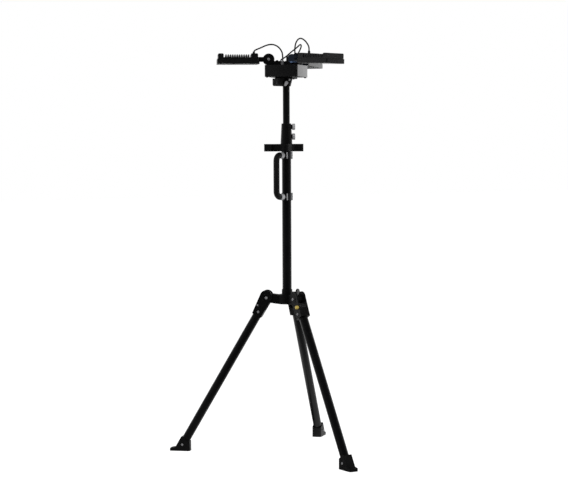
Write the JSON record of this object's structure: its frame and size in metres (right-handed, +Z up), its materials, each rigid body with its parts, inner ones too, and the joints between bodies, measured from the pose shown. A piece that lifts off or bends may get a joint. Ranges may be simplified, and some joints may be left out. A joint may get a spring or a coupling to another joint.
{
  "type": "tripod flood light",
  "caption": "Black LED flood light: flat finned lamp heads on tilt knuckles round a driver box, on a telescopic mast with a carrying handle and a folding tripod base.",
  "frame": {"origin": "on the floor, on the mast's axis", "axes": "+Z up along the mast; the front leg points along -Y"},
  "size_m": [0.655, 0.7103, 1.4514],
  "materials": {
    "coated_tube": "satin",
    "black_casting": "matte",
    "black_nylon": "matte",
    "foot_black": "matte",
    "handle_grip": "satin",
    "band_steel": "polished",
    "bolt_steel": "satin",
    "thumb_metal": "satin",
    "plunger_yellow": "satin",
    "box_coating": "satin",
    "fork_coating": "satin",
    "arm_coating": "satin",
    "knob_blue": "satin",
    "sink_black": "satin",
    "bezel_black": "satin",
    "lamp_glass": "gloss",
    "led_board": "satin",
    "circuit_board": "satin",
    "gland_grey": "satin",
    "lever_grey": "satin",
    "cable_jacket": "satin"
  },
  "bodies": {
    "base": {"hub": "black_casting", "hinge_bolts": "bolt_steel", "mast_outer_tube": "coated_tube", "mast_plug": "black_nylon", "leg_clip_collar": "black_nylon", "clamp_sleeve": "black_casting", "mast_guide_bush": "black_nylon", "carry_handle": "handle_grip", "handle_bands": "band_steel", "band_screws": "bolt_steel"},
    "thumb_upper": {"thumb_screw_upper": "thumb_metal"},
    "thumb_lower": {"thumb_screw_lower": "thumb_metal"},
    "mast_upper": {"mast_inner_tube": "coated_tube", "inner_tube_bush": "black_nylon"},
    "light_head": {"head_socket": "black_casting", "head_screws": "bolt_steel", "driver_box": "box_coating", "box_lid": "box_coating", "driver_board": "circuit_board", "cable_glands": "gland_grey", "inlet_gland": "gland_grey", "tilt_forks": "fork_coating", "tilt_bolts": "bolt_steel", "lamp_cable_right": "cable_jacket", "lamp_cable_left": "cable_jacket", "lamp_cable_front": "cable_jacket"},
    "lever": {"socket_lever": "lever_grey"},
    "leg_front": {"leg_tube_front": "coated_tube", "leg_bracket_front": "black_casting", "foot_front": "foot_black", "leg_bolts_front": "bolt_steel"},
    "plunger_front": {"release_plunger_front": "plunger_yellow"},
    "leg_left": {"leg_tube_left": "coated_tube", "leg_bracket_left": "black_casting", "foot_left": "foot_black", "leg_bolts_left": "bolt_steel"},
    "plunger_left": {"release_plunger_left": "plunger_yellow"},
    "leg_right": {"leg_tube_right": "coated_tube", "leg_bracket_right": "black_casting", "foot_right": "foot_black", "leg_bolts_right": "bolt_steel"},
    "plunger_right": {"release_plunger_right": "plunger_yellow"},
    "lamp_right": {"heat_sink_right": "sink_black", "bezel_right": "bezel_black", "lamp_glass_right": "lamp_glass", "led_board_right": "led_board", "lamp_arm_right": "arm_coating"},
    "knob_right": {"tilt_knob_right": "knob_blue"},
    "lamp_left": {"heat_sink_left": "sink_black", "bezel_left": "bezel_black", "lamp_glass_left": "lamp_glass", "led_board_left": "led_board", "lamp_arm_left": "arm_coating"},
    "knob_left": {"tilt_knob_left": "knob_blue"},
    "lamp_front": {"heat_sink_front": "sink_black", "bezel_front": "bezel_black", "lamp_glass_front": "lamp_glass", "led_board_front": "led_board", "lamp_arm_front": "arm_coating"},
    "knob_front": {"tilt_knob_front": "knob_blue"}
  },
  "joints": [
    {"name": "leg_fold_front", "type": "hinge", "parent": "base", "child": "leg_front", "pos_m": [0, -0.071, 0.548], "axis": [-1, 0, 0], "range_deg": [0, 149.8]},
    {"name": "plunger_pull_front", "type": "slide", "parent": "leg_front", "child": "plunger_front", "axis": [-1, 0, 0], "range_m": [0, 0.008], "stiffness_N_per_m": 400, "springref_m": -0.004},
    {"name": "leg_fold_left", "type": "hinge", "parent": "base", "child": "leg_left", "pos_m": [-0.05358, 0.04658, 0.548], "axis": [0.6561, 0.7547, 0], "range_deg": [0, 149.8]},
    {"name": "plunger_pull_left", "type": "slide", "parent": "leg_left", "child": "plunger_left", "axis": [0.6561, 0.7547, 0], "range_m": [0, 0.008], "stiffness_N_per_m": 400, "springref_m": -0.004},
    {"name": "leg_fold_right", "type": "hinge", "parent": "base", "child": "leg_right", "pos_m": [0.05358, 0.04658, 0.548], "axis": [0.6561, -0.7547, 0], "range_deg": [0, 149.8]},
    {"name": "plunger_pull_right", "type": "slide", "parent": "leg_right", "child": "plunger_right", "axis": [0.6561, -0.7547, 0], "range_m": [0, 0.008], "stiffness_N_per_m": 400, "springref_m": -0.004},
    {"name": "thumb_upper_turn", "type": "hinge", "parent": "base", "child": "thumb_upper", "pos_m": [0.0182, -0.00829, 1.1445], "axis": [0.91, -0.4147, 0], "range_deg": [0, 180]},
    {"name": "thumb_lower_turn", "type": "hinge", "parent": "base", "child": "thumb_lower", "pos_m": [0.0182, -0.00829, 1.1105], "axis": [0.91, -0.4147, 0], "range_deg": [0, 180]},
    {"name": "mast_slide", "type": "slide", "parent": "base", "child": "mast_upper", "axis": [0, 0, 1], "range_m": [-0.11, 0.33]},
    {"name": "head_pan", "type": "hinge", "parent": "mast_upper", "child": "light_head", "pos_m": [0, 0, 1.311], "axis": [0, 0, 1], "continuous": true},
    {"name": "lever_turn", "type": "hinge", "parent": "light_head", "child": "lever", "pos_m": [-0.01379, -0.02437, 1.296], "axis": [-0.4924, -0.8704, 0], "range_deg": [0, 90]},
    {"name": "lamp_tilt_right", "type": "hinge", "parent": "light_head", "child": "lamp_right", "pos_m": [0.04922, 0.03603, 1.378], "axis": [0.5906, -0.807, 0], "range_deg": [-17, 90], "deforming": ["lamp_cable_right"]},
    {"name": "knob_turn_right", "type": "hinge", "parent": "light_head", "child": "knob_right", "pos_m": [0.04922, 0.03603, 1.378], "axis": [0.5906, -0.807, 0], "range_deg": [0, 180]},
    {"name": "lamp_tilt_left", "type": "hinge", "parent": "light_head", "child": "lamp_left", "pos_m": [-0.05411, 0.02817, 1.378], "axis": [0.4617, 0.887, 0], "range_deg": [-17, 90], "deforming": ["lamp_cable_left"]},
    {"name": "knob_turn_left", "type": "hinge", "parent": "light_head", "child": "knob_left", "pos_m": [-0.05411, 0.02817, 1.378], "axis": [0.4617, 0.887, 0], "range_deg": [0, 180]},
    {"name": "lamp_tilt_front", "type": "hinge", "parent": "light_head", "child": "lamp_front", "pos_m": [0.01372, -0.05944, 1.378], "axis": [-0.9744, -0.225, 0], "range_deg": [-17, 90], "deforming": ["lamp_cable_front"]},
    {"name": "knob_turn_front", "type": "hinge", "parent": "light_head", "child": "knob_front", "pos_m": [0.01372, -0.05944, 1.378], "axis": [-0.9744, -0.225, 0], "range_deg": [0, 180]}
  ]
}
